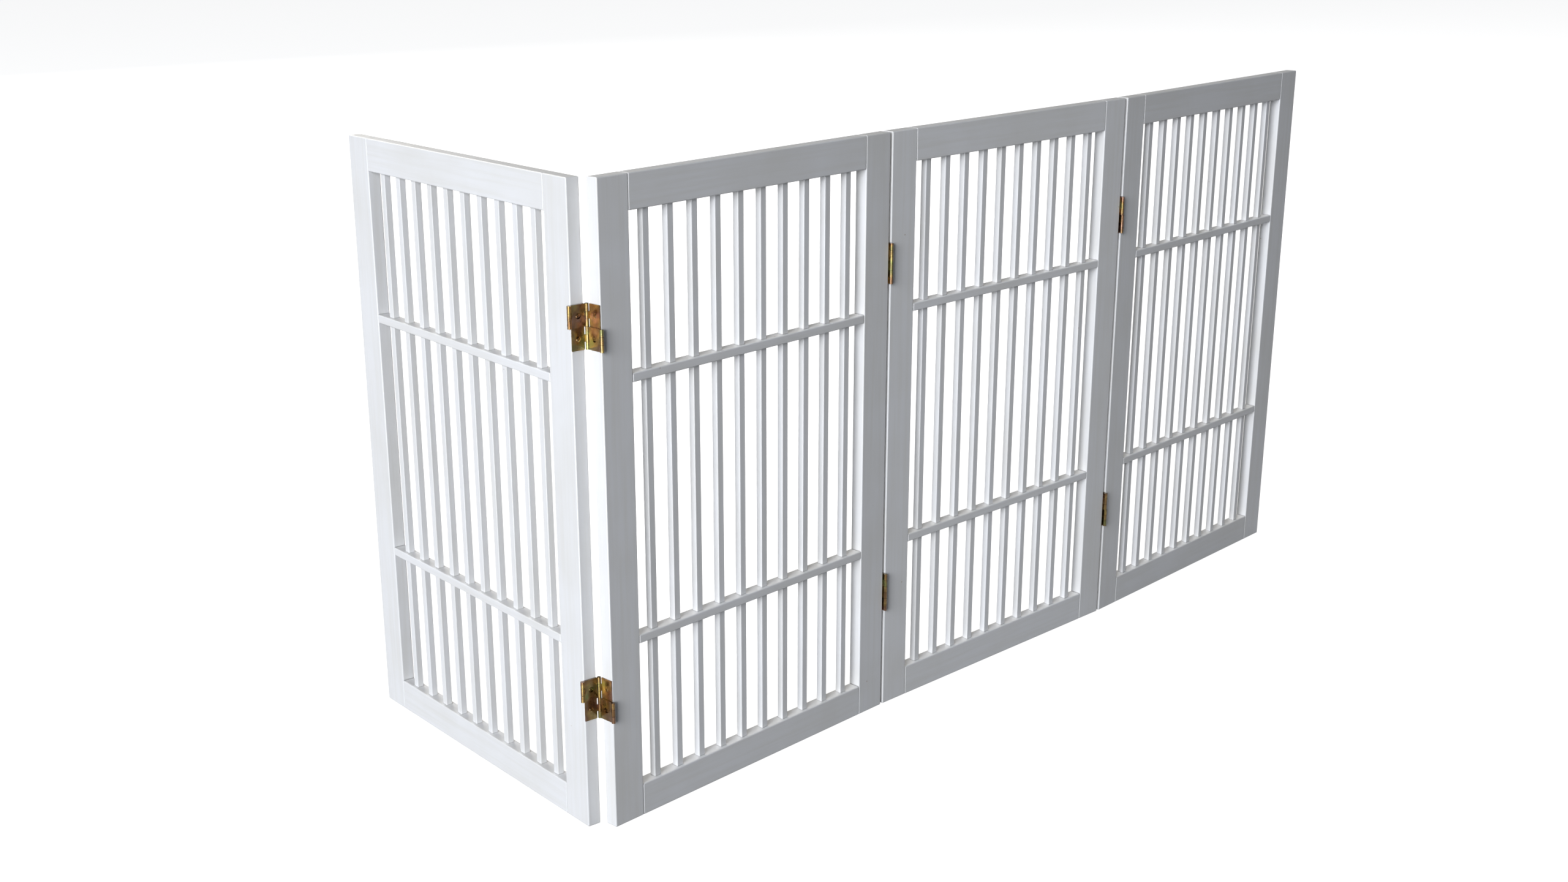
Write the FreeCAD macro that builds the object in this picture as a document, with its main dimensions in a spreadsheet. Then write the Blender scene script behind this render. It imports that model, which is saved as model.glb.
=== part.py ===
"""Free-standing folding pet gate: four slatted wooden panels on six double-action hinges.

World frame, millimetres: origin at the middle of the second panel's foot, +X along that panel
towards the third one, +Y to its back, +Z up. Panels are counted from the left.

Each panel is drawn in its own frame: origin at its front, left, bottom corner, x across the
panel, y to the back, z up. Each hinge is drawn flat in a frame of its own: x = 0 on the edge of
the panel to its left, y = 0 on the front faces, z = 0 at the foot of the hinge.

A double-action hinge is a leaf on each of the two edges and two flaps between the leaves. The
upper flap is pinned to the left leaf at the front and to the right leaf at the back, and the
lower flap the other way round, so that the panels fold flat against each other either way.
"""
import FreeCAD, Part
import os
import re
import sys

DIMENSIONS = {
    # panels
    "panel_width": 508,
    "panel_height": 800,
    "panel_depth": 18,
    "stile_width": 47.5,
    "rail_height": 42.5,
    "mid_rail_height": 11,
    "mid_rail_inset": 231,  # from the foot to the lower middle rail, and from the top likewise
    "eased_edge": 1.5,
    "slat_count": 10,
    "slat_width": 10,
    "slat_depth": 9,
    "slat_pitch": 39.3,
    "slat_edge": 0.8,
    "slat_tenon": 12,
    # dowels that hold the rails in the stiles
    "dowel_radius": 4,
    "dowel_length": 40,
    "dowel_inset": 11,
    "peg_radius": 2.5,
    "peg_length": 24,
    "dowel_clearance": 0.05,
    "dowel_end_room": 0.5,
    # hinges
    "hinge_gap": 4,
    "hinge_height": 54,
    "hinge_inset": 143,  # from the foot to the low hinge, and from the top to the high one
    "plate_thickness": 1.1,
    "plate_inset": 0.2,  # of a leaf's plate from each face of its panel
    "knuckle_radius": 2.5,
    "knuckle_offset": 3.1,  # from a panel face out to the hinge axis beside it
    "knuckle_gap": 0.3,
    "pin_radius": 1.2,
    "pin_clearance": 0.05,
    "flap_inset": 0.2,
    "flap_hole_radius": 3.5,
    # screws
    "screw_head_radius": 3,
    "screw_crown_radius": 1.8,  # the flat top of the head's dome
    "screw_dome": 0.5,
    "screw_radius": 1.6,
    "screw_length": 14.5,
    "pilot_hole_length": 15,
    "screw_clearance": 0.05,
    "recess_width": 0.8,
    "recess_length": 3.2,
    "recess_depth": 0.9,
    # folds at rest, in degrees: the first two panels are folded towards their backs
    "first_fold": 97.4,
    "second_fold": 2.1,
    "third_fold": 3,
}

doc = FreeCAD.newDocument("pet_gate")
sheet = doc.addObject("Spreadsheet::Sheet", "dims")
for row, (alias, value) in enumerate(DIMENSIONS.items(), start=1):
    sheet.set(f"A{row}", alias)
    sheet.set(f"B{row}", str(value))
    sheet.setAlias(f"B{row}", alias)
doc.recompute()

UP = FreeCAD.Vector(0, 0, 1)
subparts = []


def dim(alias):
    """The value of a cell of the sheet."""
    return float(getattr(sheet, alias))


def bind(shape, **sizes):
    """Binds each named property of a primitive to an expression in the sheet's aliases."""
    for name, words in sizes.items():
        shape.setExpression(name, cells(words))
    return shape


def cells(words):
    """An expression with each alias written as a reference to its cell."""
    return re.sub(r"[a-z_]+", lambda word: f"dims.{word[0]}", words)


def at(shape, x, y, z):
    """Moves a primitive to a place given by three expressions."""
    for axis, words in zip("xyz", (x, y, z)):
        shape.setExpression(f"Placement.Base.{axis}", cells(words))
    return shape


def box(x, y, z, length, width, height):
    """A box from its low corner and its three sizes."""
    shape = doc.addObject("Part::Box", "box")
    bind(shape, Length=length, Width=width, Height=height)
    return at(shape, x, y, z)


def cylinder(x, y, z, radius, length, along="z"):
    """A cylinder whose axis starts at a point and runs along x or z."""
    shape = doc.addObject("Part::Cylinder", "cylinder")
    bind(shape, Radius=radius, Height=length)
    if along == "x":
        shape.Placement.Rotation = FreeCAD.Rotation(FreeCAD.Vector(0, 1, 0), 90)
    return at(shape, x, y, z)


def cone(x, y, z, start_radius, end_radius, length):
    """A cone whose axis starts at a point and runs along x."""
    shape = doc.addObject("Part::Cone", "cone")
    bind(shape, Radius1=start_radius, Radius2=end_radius, Height=length)
    shape.Placement.Rotation = FreeCAD.Rotation(FreeCAD.Vector(0, 1, 0), 90)
    return at(shape, x, y, z)


def fuse(shapes):
    """One solid from overlapping shapes."""
    joined = doc.addObject("Part::MultiFuse", "fuse")
    joined.Shapes = shapes
    joined.Refine = True
    return joined


def cut(base, tools):
    """The base without the tools."""
    rest = doc.addObject("Part::Cut", "cut")
    rest.Base = base
    rest.Tool = tools[0] if len(tools) == 1 else group(tools)
    return rest


def group(shapes):
    """Several shapes, kept apart, as one object."""
    together = doc.addObject("Part::Compound", "group")
    together.Links = shapes
    return together


def ease(base, radius, edges=None):
    """Rounds edges of a box: all twelve, or those for which the test is true."""
    doc.recompute()
    chosen = [n for n, edge in enumerate(base.Shape.Edges, start=1) if edges is None or edges(edge)]
    rounded = doc.addObject("Part::Fillet", "eased")
    rounded.Base = base
    rounded.Edges = [(n, radius, radius) for n in chosen]
    return rounded


def upright(edge):
    """True for an edge that runs up and down."""
    return abs(edge.tangentAt(edge.FirstParameter).z) > 0.9


def finish(node, shape, placement):
    """Names a sub-part and puts it in its place."""
    shape.Label = node
    shape.Placement = placement
    subparts.append(shape)


# ---------------------------------------------------------------- places

def shift(x, y=0, z=0):
    """A move without a turn."""
    return FreeCAD.Placement(FreeCAD.Vector(x, y, z), FreeCAD.Rotation())


def turn(x, y, angle):
    """A turn about the upright line through (x, y)."""
    centre = FreeCAD.Vector(x, y, 0)
    return FreeCAD.Placement(FreeCAD.Vector(), FreeCAD.Rotation(UP, angle), centre)


def panel_places():
    """Where the four panels stand: each is folded about an axis beside its neighbour's edge."""
    width = dim("panel_width")
    step = width + dim("hinge_gap")
    before = -dim("hinge_gap") / 2
    after = width - before
    front = -dim("knuckle_offset")
    back = dim("panel_depth") + dim("knuckle_offset")
    second = shift(-width / 2, -dim("panel_depth") / 2)
    first = second * turn(before, back, -dim("first_fold")) * shift(-step)
    third = second * turn(after, front, -dim("second_fold")) * shift(step)
    fourth = third * turn(after, back, dim("third_fold")) * shift(step)
    return [first, second, third, fourth]


# ---------------------------------------------------------------- panels

RAILS = {
    "bottom_rail": ("0", "rail_height"),
    "lower_mid_rail": ("mid_rail_inset", "mid_rail_height"),
    "upper_mid_rail": ("panel_height - mid_rail_inset - mid_rail_height", "mid_rail_height"),
    "top_rail": ("panel_height - rail_height", "rail_height"),
}
SPAN = "(panel_width - 2 * stile_width)"
MIDDLE = "panel_depth / 2"
FIRST_SLAT = "((panel_width - (slat_count - 1) * slat_pitch - slat_width) / 2)"
SLAT_FRONT = "((panel_depth - slat_depth) / 2)"
SLAT_FOOT = "(rail_height - slat_tenon)"
SLAT_LENGTH = "(panel_height - 2 * rail_height + 2 * slat_tenon)"


def slat_boxes():
    """The ten slats as plain bars, from inside the bottom rail to inside the top one."""
    places = [f"{FIRST_SLAT} + {n} * slat_pitch" for n in range(int(dim("slat_count")))]
    return [
        box(x, SLAT_FRONT, SLAT_FOOT, "slat_width", "slat_depth", SLAT_LENGTH) for x in places
    ]


def dowels(seam, clearance="0", end_room="0"):
    """The dowels across one seam between a stile and its rails; with clearance, their holes."""
    pins = []
    for foot, height in RAILS.values():
        thin = height == "mid_rail_height"
        radius = f"{'peg_radius' if thin else 'dowel_radius'} + {clearance}"
        length = f"({'peg_length' if thin else 'dowel_length'} + 2 * {end_room})"
        offsets = [f"{height} / 2"] if thin else ["dowel_inset", f"{height} - dowel_inset"]
        start = f"{seam} - {length} / 2"
        pins += [
            cylinder(start, MIDDLE, f"{foot} + {offset}", radius, length, "x")
            for offset in offsets
        ]
    return pins


def dowel_holes(seam):
    """The holes for the dowels across one seam."""
    return dowels(seam, "dowel_clearance", "dowel_end_room")


def screw_holes(side):
    """Pilot holes from a panel's left (0) or right (1) edge, two behind each of its hinges."""
    radius = "screw_radius + screw_clearance"
    start = "0" if side == 0 else "panel_width - pilot_hole_length"
    return [
        cylinder(start, MIDDLE, f"{foot} + {height}", radius, "pilot_hole_length", "x")
        for foot in HINGE_FEET
        for height in SCREW_HEIGHTS
    ]


def stile(side, hinged):
    """The left (0) or right (1) upright of a panel, with its dowel holes and pilot holes."""
    corner = "0" if side == 0 else "panel_width - stile_width"
    seam = "stile_width" if side == 0 else "panel_width - stile_width"
    bar = box(corner, "0", "0", "stile_width", "panel_depth", "panel_height")
    holes = dowel_holes(seam) + (screw_holes(side) if hinged else [])
    return cut(ease(bar, dim("eased_edge")), holes)


def rail(name):
    """A rail between the stiles, with its dowel holes and the mortises for the slats."""
    foot, height = RAILS[name]
    bar = box("stile_width", "0", foot, SPAN, "panel_depth", height)
    holes = dowel_holes("stile_width") + dowel_holes("panel_width - stile_width")
    return cut(ease(bar, dim("eased_edge")), holes + slat_boxes())


def slats():
    """The ten slats with their upright edges rounded."""
    return group([ease(bar, dim("slat_edge"), upright) for bar in slat_boxes()])


def make_panel(number, place):
    """One panel; the outer stiles of the first and last panels carry no hinge."""
    name = f"panel_{number}"
    finish(f"{name}_left_stile", stile(0, number > 1), place)
    finish(f"{name}_right_stile", stile(1, number < 4), place)
    for part in RAILS:
        finish(f"{name}_{part}", rail(part), place)
    finish(f"{name}_slats", slats(), place)
    pins = dowels("stile_width") + dowels("panel_width - stile_width")
    finish(f"{name}_dowels", group(pins), place)


# ---------------------------------------------------------------- hinges

HINGE_FEET = ["hinge_inset", "panel_height - hinge_inset - hinge_height"]
HALF = "(hinge_height / 2)"
THIRD = "(hinge_height / 6)"
SCREW_HEIGHTS = [f"{HALF} / 2", f"{HALF} * 3 / 2"]
AXIS_X = "hinge_gap / 2"
AXIS_Y = {"front": "(0 - knuckle_offset)", "back": "(panel_depth + knuckle_offset)"}
LOWER, UPPER = "0", HALF
BORE = "pin_radius + pin_clearance"


def knuckle(edge, foot, third):
    """The solid barrel of one knuckle: the first, second or third one (0 to 2) of a half."""
    low = f"{foot} + {third} * {THIRD} + knuckle_gap / 2"
    return cylinder(AXIS_X, AXIS_Y[edge], low, "knuckle_radius", f"{THIRD} - knuckle_gap")


def bore(edge, foot):
    """The hole for the pin, through the three knuckles of a half."""
    return cylinder(AXIS_X, AXIS_Y[edge], foot, BORE, HALF)


def web(x, edge, foot):
    """The tongue that joins a leaf to its knuckle, the middle one of a half."""
    start = AXIS_Y["front"] if edge == "front" else "panel_depth - plate_inset"
    low = f"{foot} + {THIRD} + knuckle_gap / 2"
    length = "knuckle_offset + plate_inset"
    return box(x, start, low, "plate_thickness", length, f"{THIRD} - knuckle_gap")


def leaf(side, foot):
    """The leaf on the edge of the left (0) or right (1) panel, countersunk for two screws."""
    x = "0" if side == 0 else "hinge_gap - plate_thickness"
    upper, lower = ("front", "back") if side == 0 else ("back", "front")
    plate = box(
        x,
        "plate_inset",
        f"{foot} + knuckle_gap / 2",
        "plate_thickness",
        "panel_depth - 2 * plate_inset",
        "hinge_height - knuckle_gap",
    )
    tongues = [web(x, upper, f"{foot} + {UPPER}"), web(x, lower, f"{foot} + {LOWER}")]
    barrels = [knuckle(upper, f"{foot} + {UPPER}", 1), knuckle(lower, f"{foot} + {LOWER}", 1)]
    bores = [bore(upper, f"{foot} + {UPPER}"), bore(lower, f"{foot} + {LOWER}")]
    countersinks = [head_cone(side, f"{foot} + {height}", "screw_clearance") for height in SCREW_HEIGHTS]
    return cut(fuse([plate] + tongues + barrels), bores + countersinks)


def flap(foot):
    """A flap between the leaves: outer knuckles on both edges, notched beside the leaves' own
    knuckles, with a hole over the screws behind it."""
    low = f"{foot} + knuckle_gap / 2"
    x = "(hinge_gap - plate_thickness) / 2"
    length = "panel_depth + 2 * knuckle_offset"
    plate = box(x, AXIS_Y["front"], low, "plate_thickness", length, f"{HALF} - knuckle_gap")
    barrels = [knuckle(edge, foot, third) for edge in AXIS_Y for third in (0, 2)]
    notch_low = f"{foot} + {THIRD} - knuckle_gap / 2"
    notch_height = f"{THIRD} + knuckle_gap"
    depth = "knuckle_offset + knuckle_radius + flap_inset"
    notches = [
        box("0", "0 - knuckle_offset - knuckle_radius", notch_low, "hinge_gap", depth, notch_height),
        box("0", "panel_depth - flap_inset", notch_low, "hinge_gap", depth, notch_height),
    ]
    bores = [bore(edge, foot) for edge in AXIS_Y]
    window = cylinder("0", MIDDLE, f"{foot} + {HALF} / 2", "flap_hole_radius", "hinge_gap", "x")
    return cut(fuse([plate] + barrels), notches + bores + [window])


def pin(edge, foot, whole):
    """A hinge pin, or only its two ends in the flap's knuckles."""
    low = f"{foot} + knuckle_gap / 2"
    if whole:
        return [cylinder(AXIS_X, AXIS_Y[edge], low, "pin_radius", f"{HALF} - knuckle_gap")]
    ends = [f"{foot} + {third} * {THIRD} + knuckle_gap / 2" for third in (0, 2)]
    length = f"{THIRD} - knuckle_gap"
    return [cylinder(AXIS_X, AXIS_Y[edge], end, "pin_radius", length) for end in ends]


def head_cone(side, height, clearance="0"):
    """The countersunk part of a screw's head, as thick as the leaf that it sits in."""
    narrow = f"screw_radius + {clearance}"
    wide = f"screw_head_radius + {clearance}"
    if side == 0:
        return cone("0", MIDDLE, height, narrow, wide, "plate_thickness")
    return cone("hinge_gap - plate_thickness", MIDDLE, height, wide, narrow, "plate_thickness")


def screw(side, height):
    """A countersunk wood screw with a low dome and a cross recess, driven into a panel's edge."""
    face = "plate_thickness" if side == 0 else "hinge_gap - plate_thickness"
    shank_start = "0 - screw_length" if side == 0 else "hinge_gap"
    shank = cylinder(shank_start, MIDDLE, height, "screw_radius", "screw_length", "x")
    dome_start = face if side == 0 else f"{face} - screw_dome"
    radii = ("screw_head_radius", "screw_crown_radius")
    low_radius, high_radius = radii if side == 0 else radii[::-1]
    dome = cone(dome_start, MIDDLE, height, low_radius, high_radius, "screw_dome")
    recess_start = f"{face} + screw_dome - recess_depth" if side == 0 else f"{face} - screw_dome"
    slots = [
        box(recess_start, f"{MIDDLE} - {wide} / 2", f"{height} - {tall} / 2", "recess_depth", wide, tall)
        for wide, tall in (("recess_width", "recess_length"), ("recess_length", "recess_width"))
    ]
    return cut(fuse([shank, head_cone(side, height), dome]), slots)


def make_hinges(number, left_place, right_place, upper_rides_left, opened):
    """The low and high hinges between two panels.

    upper_rides_left says which panel the upper flaps are turned with at rest; the lower ones are
    turned with the other. opened names the pivot, a flap and an edge, whose pin is only two ends.
    """
    name = f"hinge_{number}"
    on_left = left_place * shift(dim("panel_width"))
    on_right = right_place * shift(-dim("hinge_gap"))
    upper_place, lower_place = (on_left, on_right) if upper_rides_left else (on_right, on_left)
    for side, word, place in ((0, "left", on_left), (1, "right", on_right)):
        finish(f"{name}_{word}_leaves", group([leaf(side, foot) for foot in HINGE_FEET]), place)
        heights = [f"{foot} + {height}" for foot in HINGE_FEET for height in SCREW_HEIGHTS]
        finish(f"{name}_{word}_screws", group([screw(side, height) for height in heights]), place)
    for word, half, place in (("upper", UPPER, upper_place), ("lower", LOWER, lower_place)):
        feet = [f"{foot} + {half}" for foot in HINGE_FEET]
        finish(f"{name}_{word}_flaps", group([flap(foot) for foot in feet]), place)
        pins = []
        for foot in feet:
            for edge in AXIS_Y:
                pins += pin(edge, foot, (word, edge) != opened)
        finish(f"{name}_{word}_pins", group(pins), place)


# ---------------------------------------------------------------- the gate

places = panel_places()
for number, place in enumerate(places, start=1):
    make_panel(number, place)
make_hinges(1, places[0], places[1], True, ("lower", "back"))
make_hinges(2, places[1], places[2], False, ("upper", "back"))
make_hinges(3, places[2], places[3], True, ("lower", "front"))
doc.recompute()

broken = [o.Label for o in doc.Objects if {"Invalid", "Error"} & set(o.State)]
broken += [o.Label for o in subparts if o.Shape.isNull() or not o.Shape.isValid()]
if broken:
    sys.exit(f"failed objects: {sorted(set(broken))}")

os.makedirs("parts", exist_ok=True)
for part in subparts:
    part.Shape.exportStep(f"parts/{part.Label}.step")
    print(f"{part.Label}: {len(part.Shape.Solids)} solids, {part.Shape.Volume:.0f} mm3")
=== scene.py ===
"""Looks for the folding pet gate: white painted wood and yellow-zinc hinges, on a pale floor.

Every piece is a CAD node that keeps its shape and gets a procedural material here.
"""
import math

import bpy
from mathutils import Matrix, Vector


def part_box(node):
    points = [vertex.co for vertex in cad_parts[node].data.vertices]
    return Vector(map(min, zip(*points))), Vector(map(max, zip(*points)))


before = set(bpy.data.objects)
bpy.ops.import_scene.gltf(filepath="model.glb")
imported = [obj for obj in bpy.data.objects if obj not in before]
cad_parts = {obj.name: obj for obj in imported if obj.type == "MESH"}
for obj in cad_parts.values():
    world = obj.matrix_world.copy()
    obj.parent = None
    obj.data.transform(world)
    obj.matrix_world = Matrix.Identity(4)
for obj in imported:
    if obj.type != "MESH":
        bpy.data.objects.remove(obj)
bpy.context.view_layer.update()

PANELS = (1, 2, 3, 4)
HINGES = (1, 2, 3)
UPRIGHTS = ("left_stile", "right_stile", "slats")
RAILS = ("bottom_rail", "lower_mid_rail", "upper_mid_rail", "top_rail")
PLATES = ("left_leaves", "right_leaves", "upper_flaps", "lower_flaps")
FASTENERS = ("left_screws", "right_screws", "upper_pins", "lower_pins")
MILLIMETRE = 0.001
SMOOTH_ANGLE = 30  # degrees; sharper edges stay crisp


# ---------------------------------------------------------------- node helpers

BUMP_STRENGTH = 0.5
MIX_FACTOR, MIX_FIRST, MIX_SECOND, MIX_RESULT = 0, 6, 7, 2  # the colour sockets of a mix node


def new_material(name):
    """A node material, its node tree and its Principled shader."""
    material = bpy.data.materials.new(name)
    material.use_nodes = True
    tree = material.node_tree
    shader = tree.nodes["Principled BSDF"]
    return material, tree, shader


def node(tree, kind, settings=None, **inputs):
    """A shader node with its settings and inputs; an input is a value or another node's socket."""
    made = tree.nodes.new(kind)
    for key, value in (settings or {}).items():
        setattr(made, key, value)
    for key, value in inputs.items():
        socket = made.inputs[key.replace("_", " ")]
        if isinstance(value, bpy.types.NodeSocket):
            tree.links.new(value, socket)
        else:
            socket.default_value = value
    return made


def object_coordinates(tree):
    """Places in the row frame at rest, in metres, which ride with the piece."""
    return node(tree, "ShaderNodeTexCoord").outputs["Object"]


def stretched_coordinates(tree, turn, stretch):
    """Object coordinates turned about the upright axis by an angle and then scaled."""
    level = node(tree, "ShaderNodeMapping", Vector=object_coordinates(tree), Rotation=(0, 0, -turn))
    scaled = node(tree, "ShaderNodeMapping", Vector=level.outputs["Vector"], Scale=stretch)
    return scaled.outputs["Vector"]


def noise(tree, vector, scale, detail, roughness=0.5, distortion=0.0):
    """Noise from 0 to 1, whose scale is in grains per metre."""
    made = node(
        tree,
        "ShaderNodeTexNoise",
        Vector=vector,
        Scale=scale,
        Detail=detail,
        Roughness=roughness,
        Distortion=distortion,
    )
    return made.outputs["Fac"]


def ramp(tree, factor, *stops):
    """A colour ramp from (position, grey or colour) stops."""
    made = node(tree, "ShaderNodeValToRGB", Fac=factor)
    elements = made.color_ramp.elements
    while len(elements) < len(stops):
        elements.new(0.5)
    for element, (position, colour) in zip(elements, stops):
        element.position = position
        grey = isinstance(colour, (int, float))
        element.color = (colour, colour, colour, 1) if grey else (*colour, 1)
    return made.outputs["Color"]


def mix(tree, factor, first, second):
    """A colour mix by a factor socket; first and second are colours or sockets."""
    made = tree.nodes.new("ShaderNodeMix")
    made.data_type = "RGBA"
    tree.links.new(factor, made.inputs[MIX_FACTOR])
    for index, value in ((MIX_FIRST, first), (MIX_SECOND, second)):
        if isinstance(value, bpy.types.NodeSocket):
            tree.links.new(value, made.inputs[index])
        else:
            made.inputs[index].default_value = (*value, 1)
    return made.outputs[MIX_RESULT]


def bump(tree, height, depth, normal=None):
    """A bump whose depth is in metres, on top of another bump's normal if there is one."""
    inputs = {"Height": height, "Distance": depth, "Strength": BUMP_STRENGTH}
    if normal is not None:
        inputs["Normal"] = normal
    return node(tree, "ShaderNodeBump", **inputs).outputs["Normal"]


# ---------------------------------------------------------------- materials

PAINT = (0.80, 0.805, 0.815)
PAINT_THIN = (0.70, 0.69, 0.655)
PAINT_SPECK = (0.42, 0.34, 0.24)
# Grey and reach of the painted shade in the creases between pieces.
CREASE_SHADE_COLOUR = (0.16, 0.155, 0.15)
CREASE_SHADE_REACH = 2.2 * MILLIMETRE
SPECKS_PER_METRE = 18.0
STROKE_DEPTH = 0.05 * MILLIMETRE
GRAIN_DEPTH = 0.19 * MILLIMETRE


def painted_wood(name, turn, stretch):
    """Brushed satin paint over wood: faint grain and brush marks along the piece, a few blemishes.

    turn is the panel's angle about the upright axis, and stretch is small along the grain.
    Painted shade darkens the narrow creases where two pieces meet.
    """
    material, tree, shader = new_material(name)
    along = stretched_coordinates(tree, turn, stretch)
    plain = object_coordinates(tree)
    grain = noise(tree, along, 130.0, detail=5.0, roughness=0.6)
    strokes = noise(tree, along, 420.0, detail=2.0, roughness=0.5)
    clouds = noise(tree, plain, 11.0, detail=3.0)
    wash = mix(tree, ramp(tree, clouds, (0.40, 0.0), (0.72, 0.4)), PAINT, PAINT_THIN)
    body = mix(tree, ramp(tree, grain, (0.34, 0.36), (0.56, 0.0)), wash, PAINT_THIN)
    dots = node(tree, "ShaderNodeTexVoronoi", Vector=plain, Scale=SPECKS_PER_METRE)
    speck = ramp(tree, dots.outputs["Distance"], (0.010, 0.8), (0.022, 0.0))
    specked = mix(tree, speck, body, PAINT_SPECK)
    # Painted shade: an ambient-occlusion node darkens the paint towards grey in narrow creases, where shade
    # falls.
    crease_occlusion = node(tree, "ShaderNodeAmbientOcclusion", {"samples": 6}, Distance=CREASE_SHADE_REACH)
    crease_shade = ramp(tree, crease_occlusion.outputs["AO"], (0.34, 1.0), (0.70, 0.0))
    colour = mix(tree, crease_shade, specked, CREASE_SHADE_COLOUR)
    tree.links.new(colour, shader.inputs["Base Color"])
    gloss = ramp(tree, strokes, (0.25, 0.32), (0.75, 0.46))
    tree.links.new(gloss, shader.inputs["Roughness"])
    shader.inputs["Specular IOR Level"].default_value = 0.45
    fine = bump(tree, strokes, STROKE_DEPTH)
    relief = bump(tree, grain, GRAIN_DEPTH, fine)
    tree.links.new(relief, shader.inputs["Normal"])
    return material


ZINC_GOLD = (0.30, 0.20, 0.060)
ZINC_OLIVE = (0.17, 0.175, 0.050)
ZINC_BROWN = (0.15, 0.075, 0.026)
ZINC_PINK = (0.29, 0.165, 0.125)
WAVE_DEPTH = 0.8 * MILLIMETRE
PIT_DEPTH = 0.03 * MILLIMETRE


def yellow_zinc(name, roughness):
    """Yellow-passivated zinc: gold that drifts into olive, brown and pink, with faint pitting.

    roughness is its lowest and highest value.
    """
    material, tree, shader = new_material(name)
    plain = object_coordinates(tree)
    drift = noise(tree, plain, 48.0, detail=1.0, distortion=0.4)
    patches = noise(tree, plain, 90.0, detail=2.0)
    waves = noise(tree, plain, 80.0, detail=0.0)
    pits = noise(tree, plain, 2200.0, detail=3.0)
    hues = ramp(
        tree,
        drift,
        (0.30, ZINC_PINK),
        (0.42, ZINC_BROWN),
        (0.53, ZINC_GOLD),
        (0.66, ZINC_OLIVE),
    )
    dulled = mix(tree, ramp(tree, patches, (0.40, 0.0), (0.64, 0.65)), hues, ZINC_BROWN)
    tree.links.new(dulled, shader.inputs["Base Color"])
    low, high = roughness
    tree.links.new(ramp(tree, patches, (0.3, low), (0.7, high)), shader.inputs["Roughness"])
    shader.inputs["Metallic"].default_value = 1.0
    shader.inputs["Coat Weight"].default_value = 0.7
    shader.inputs["Coat Roughness"].default_value = 0.10
    wavy = bump(tree, waves, WAVE_DEPTH)
    tree.links.new(bump(tree, pits, PIT_DEPTH, wavy), shader.inputs["Normal"])
    return material


BEECH_DARK = (0.50, 0.33, 0.18)
BEECH_LIGHT = (0.66, 0.48, 0.29)


def bare_dowel_wood(name):
    """Beech for the dowels, with a streaky grain."""
    material, tree, shader = new_material(name)
    plain = object_coordinates(tree)
    streaks = noise(tree, plain, 300.0, detail=5.0)
    colour = ramp(tree, streaks, (0.3, BEECH_DARK), (0.7, BEECH_LIGHT))
    tree.links.new(colour, shader.inputs["Base Color"])
    shader.inputs["Roughness"].default_value = 0.6
    return material


FLOOR_GLOW = 0.85


def floor_paper(name):
    """Plain pale studio paper; what the camera sees of it also has a light of its own."""
    material, tree, shader = new_material(name)
    plain = object_coordinates(tree)
    fibres = noise(tree, plain, 40.0, detail=5.0)
    colour = ramp(tree, fibres, (0.3, 0.84), (0.7, 0.87))
    tree.links.new(colour, shader.inputs["Base Color"])
    shader.inputs["Roughness"].default_value = 0.9
    shader.inputs["Emission Color"].default_value = (1, 1, 1, 1)
    seen = node(tree, "ShaderNodeLightPath").outputs["Is Camera Ray"]
    glow = node(tree, "ShaderNodeMath", {"operation": "MULTIPLY"})
    tree.links.new(seen, glow.inputs[0])
    glow.inputs[1].default_value = FLOOR_GLOW
    tree.links.new(glow.outputs[0], shader.inputs["Emission Strength"])
    return material


# ---------------------------------------------------------------- the gate

def smooth(name):
    """Shades a node smooth, with its sharper edges kept crisp."""
    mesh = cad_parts[name].data
    mesh.shade_smooth()
    mesh.set_sharp_from_angle(angle=math.radians(SMOOTH_ANGLE))


def dress(name, material):
    """Gives every material slot of a CAD node one material."""
    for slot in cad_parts[name].material_slots:
        slot.material = material


def panel_turn(number):
    """A panel's angle about the upright axis, from where its two stiles stand."""
    left, right = (sum(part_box(f"panel_{number}_{side}_stile"), Vector()) / 2 for side in ("left", "right"))
    across = right - left
    return math.atan2(across.y, across.x)


GRAIN_STRETCH = 0.035
ALONG_X = (GRAIN_STRETCH, 1.0, 1.0)
ALONG_Z = (1.0, 1.0, GRAIN_STRETCH)
zinc = yellow_zinc("yellow_zinc", (0.14, 0.30))
screw_zinc = yellow_zinc("screw_zinc", (0.18, 0.34))
dowel_wood = bare_dowel_wood("dowel_beech")
for number in PANELS:
    turn = panel_turn(number)
    upright_paint = painted_wood(f"paint_upright_{number}", turn, ALONG_Z)
    level_paint = painted_wood(f"paint_level_{number}", turn, ALONG_X)
    for piece in UPRIGHTS:
        dress(f"panel_{number}_{piece}", upright_paint)
    for piece in RAILS:
        dress(f"panel_{number}_{piece}", level_paint)
    dress(f"panel_{number}_dowels", dowel_wood)
for number in HINGES:
    for piece in PLATES:
        dress(f"hinge_{number}_{piece}", zinc)
    for piece in FASTENERS:
        dress(f"hinge_{number}_{piece}", screw_zinc)
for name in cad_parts:
    smooth(name)


# ---------------------------------------------------------------- floor, light and camera

FLOOR_SIZE = 60.0
bpy.ops.mesh.primitive_plane_add(size=FLOOR_SIZE)
floor = bpy.context.object
floor.name = "floor"
floor.data.materials.append(floor_paper("floor_paper"))
floor.visible_diffuse = False


AMBIENT = (0.062, 0.065, 0.07)
BACKDROP = (0.93, 0.93, 0.93)


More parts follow.
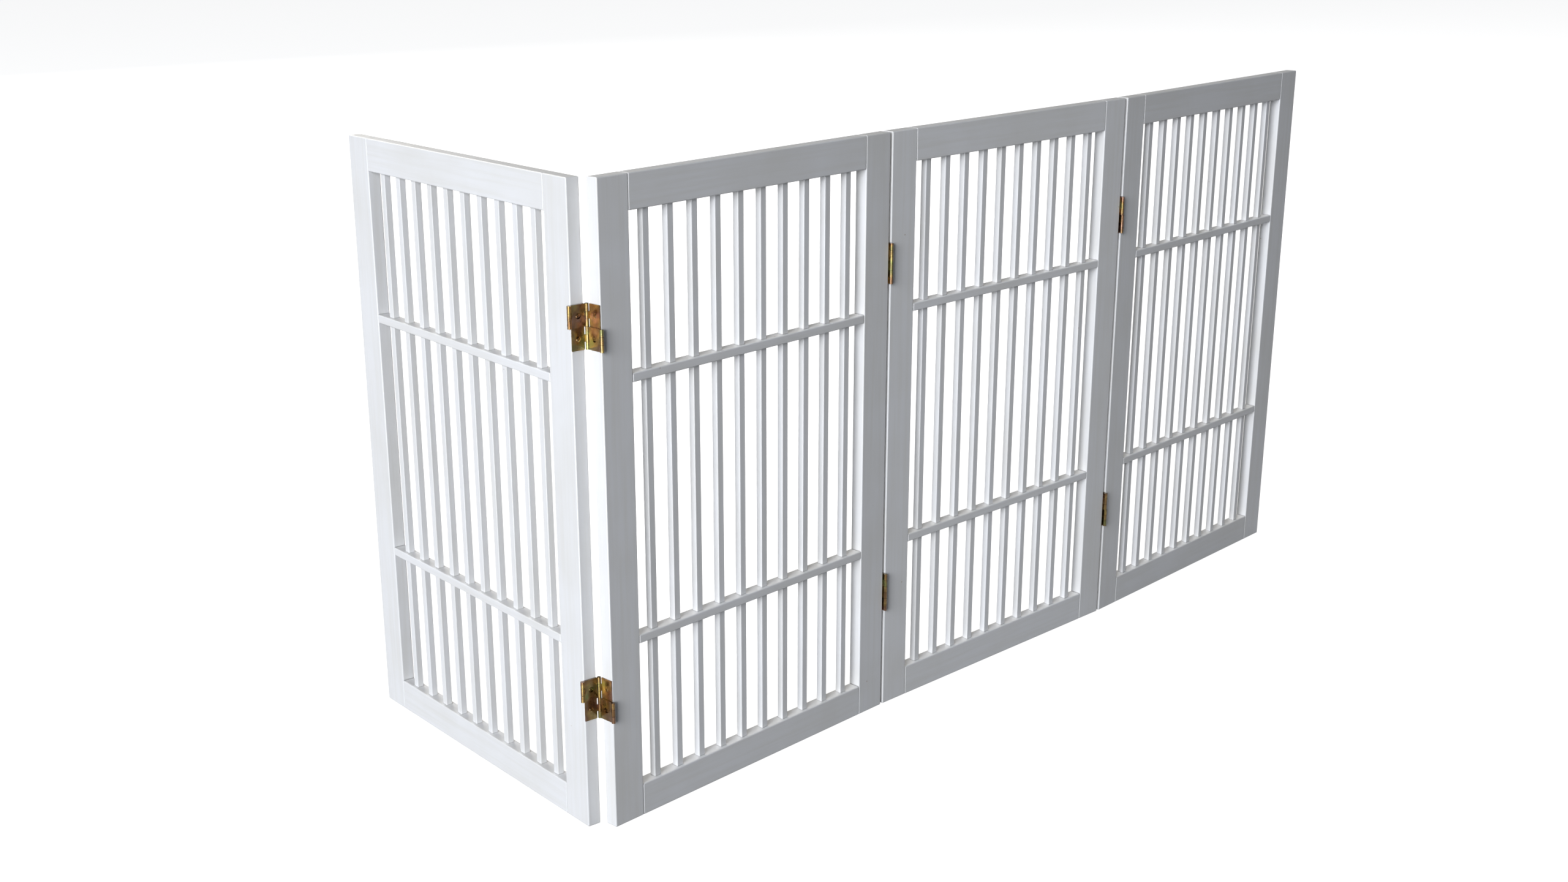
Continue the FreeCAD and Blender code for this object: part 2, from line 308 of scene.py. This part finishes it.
def add_world():
    """Dim even light from all round, behind a backdrop that looks white."""
    world = bpy.data.worlds.new("studio")
    world.use_nodes = True
    tree = world.node_tree
    dim = tree.nodes["Background"]
    dim.inputs["Color"].default_value = (*AMBIENT, 1)
    white = node(tree, "ShaderNodeBackground", Color=(*BACKDROP, 1))
    seen = node(tree, "ShaderNodeLightPath").outputs["Is Camera Ray"]
    both = node(tree, "ShaderNodeMixShader")
    tree.links.new(seen, both.inputs[0])
    tree.links.new(dim.outputs[0], both.inputs[1])
    tree.links.new(white.outputs[0], both.inputs[2])
    tree.links.new(both.outputs[0], tree.nodes["World Output"].inputs["Surface"])
    bpy.context.scene.world = world


add_world()


def direction(azimuth, elevation):
    """A unit vector that points from the object towards a light; azimuth 0 is +X, 90 is +Y."""
    a, e = math.radians(azimuth), math.radians(elevation)
    return Vector((math.cos(a) * math.cos(e), math.sin(a) * math.cos(e), math.sin(e)))


def add_light(name, shape, place, aim, size, radiance, colour):
    """A flat lamp that faces along aim, with its brightness given as radiance."""
    lamp = bpy.data.lights.new(name, "AREA")
    lamp.shape = shape
    lamp.size, lamp.size_y = size
    area = size[0] * size[1] * (math.pi / 4 if shape == "ELLIPSE" else 1)
    lamp.energy = radiance * math.pi * area
    lamp.color = colour
    holder = bpy.data.objects.new(name, lamp)
    holder.matrix_world = Matrix.Translation(place) @ aim.to_track_quat("-Z", "Y").to_matrix().to_4x4()
    holder.visible_camera = False
    bpy.context.scene.collection.objects.link(holder)
    return holder


MIDDLE = Vector((0.4, 0.0, 0.4))


def add_round_light(name, way, distance, width, radiance, colour):
    """A round lamp at a distance in one direction, aimed at the middle of the gate."""
    add_light(name, "ELLIPSE", MIDDLE + way * distance, -way, (width, width), radiance, colour)


UPWARD = Vector((0, 0, 1))
GLARE_PLACE = Vector((-1.75, -0.95, 0.01))
GLARE_SIZE = (2.3, 1.6)


def add_glare():
    """A bright patch of floor by the window, which only gloss picks up."""
    glare = add_light("glare", "RECTANGLE", GLARE_PLACE, UPWARD, GLARE_SIZE, 9.0, (1, 1, 1))
    glare.visible_diffuse = False


COOL = (0.93, 0.955, 1.0)
WARM = (1.0, 0.94, 0.84)
MILD = (1.0, 0.965, 0.91)
add_round_light("window", direction(197.5, 17), distance=13.5, width=8.2, radiance=13.8, colour=COOL)
add_round_light("ceiling", direction(200, 82), distance=6.0, width=3.4, radiance=0.5, colour=WARM)
add_round_light("fill", direction(78, 30), distance=9.0, width=6.5, radiance=4.6, colour=MILD)
add_glare()

LENS = 43.66
SENSOR = 36.0
CAMERA_PLACE = Vector((-1.6609, -1.5820, 1.1116))
CAMERA_AZIMUTH = math.radians(44.942)
CAMERA_TILT = math.radians(18.800)
CAMERA_ROLL = math.radians(-0.768)
CAMERA_SHIFT = (0.0500, 0.0534)
NEAR, FAR = 0.05, 200


def add_camera():
    """The camera: azimuth from +Y towards +X, tilted down, with a slight roll and shift."""
    lens = bpy.data.cameras.new("camera")
    lens.lens = LENS
    lens.sensor_width = SENSOR
    lens.shift_x, lens.shift_y = CAMERA_SHIFT
    lens.clip_start = NEAR
    lens.clip_end = FAR
    forward = Vector((
        math.sin(CAMERA_AZIMUTH) * math.cos(CAMERA_TILT),
        math.cos(CAMERA_AZIMUTH) * math.cos(CAMERA_TILT),
        -math.sin(CAMERA_TILT),
    ))
    level = forward.cross(UPWARD).normalized()
    over = level.cross(forward)
    right = level * math.cos(CAMERA_ROLL) + over * math.sin(CAMERA_ROLL)
    up = over * math.cos(CAMERA_ROLL) - level * math.sin(CAMERA_ROLL)
    camera = bpy.data.objects.new("camera", lens)
    turned = Matrix((right, up, -forward)).transposed().to_4x4()
    camera.matrix_world = Matrix.Translation(CAMERA_PLACE) @ turned
    bpy.context.scene.collection.objects.link(camera)
    bpy.context.scene.camera = camera


add_camera()
bpy.context.scene.view_settings.view_transform = "Standard"
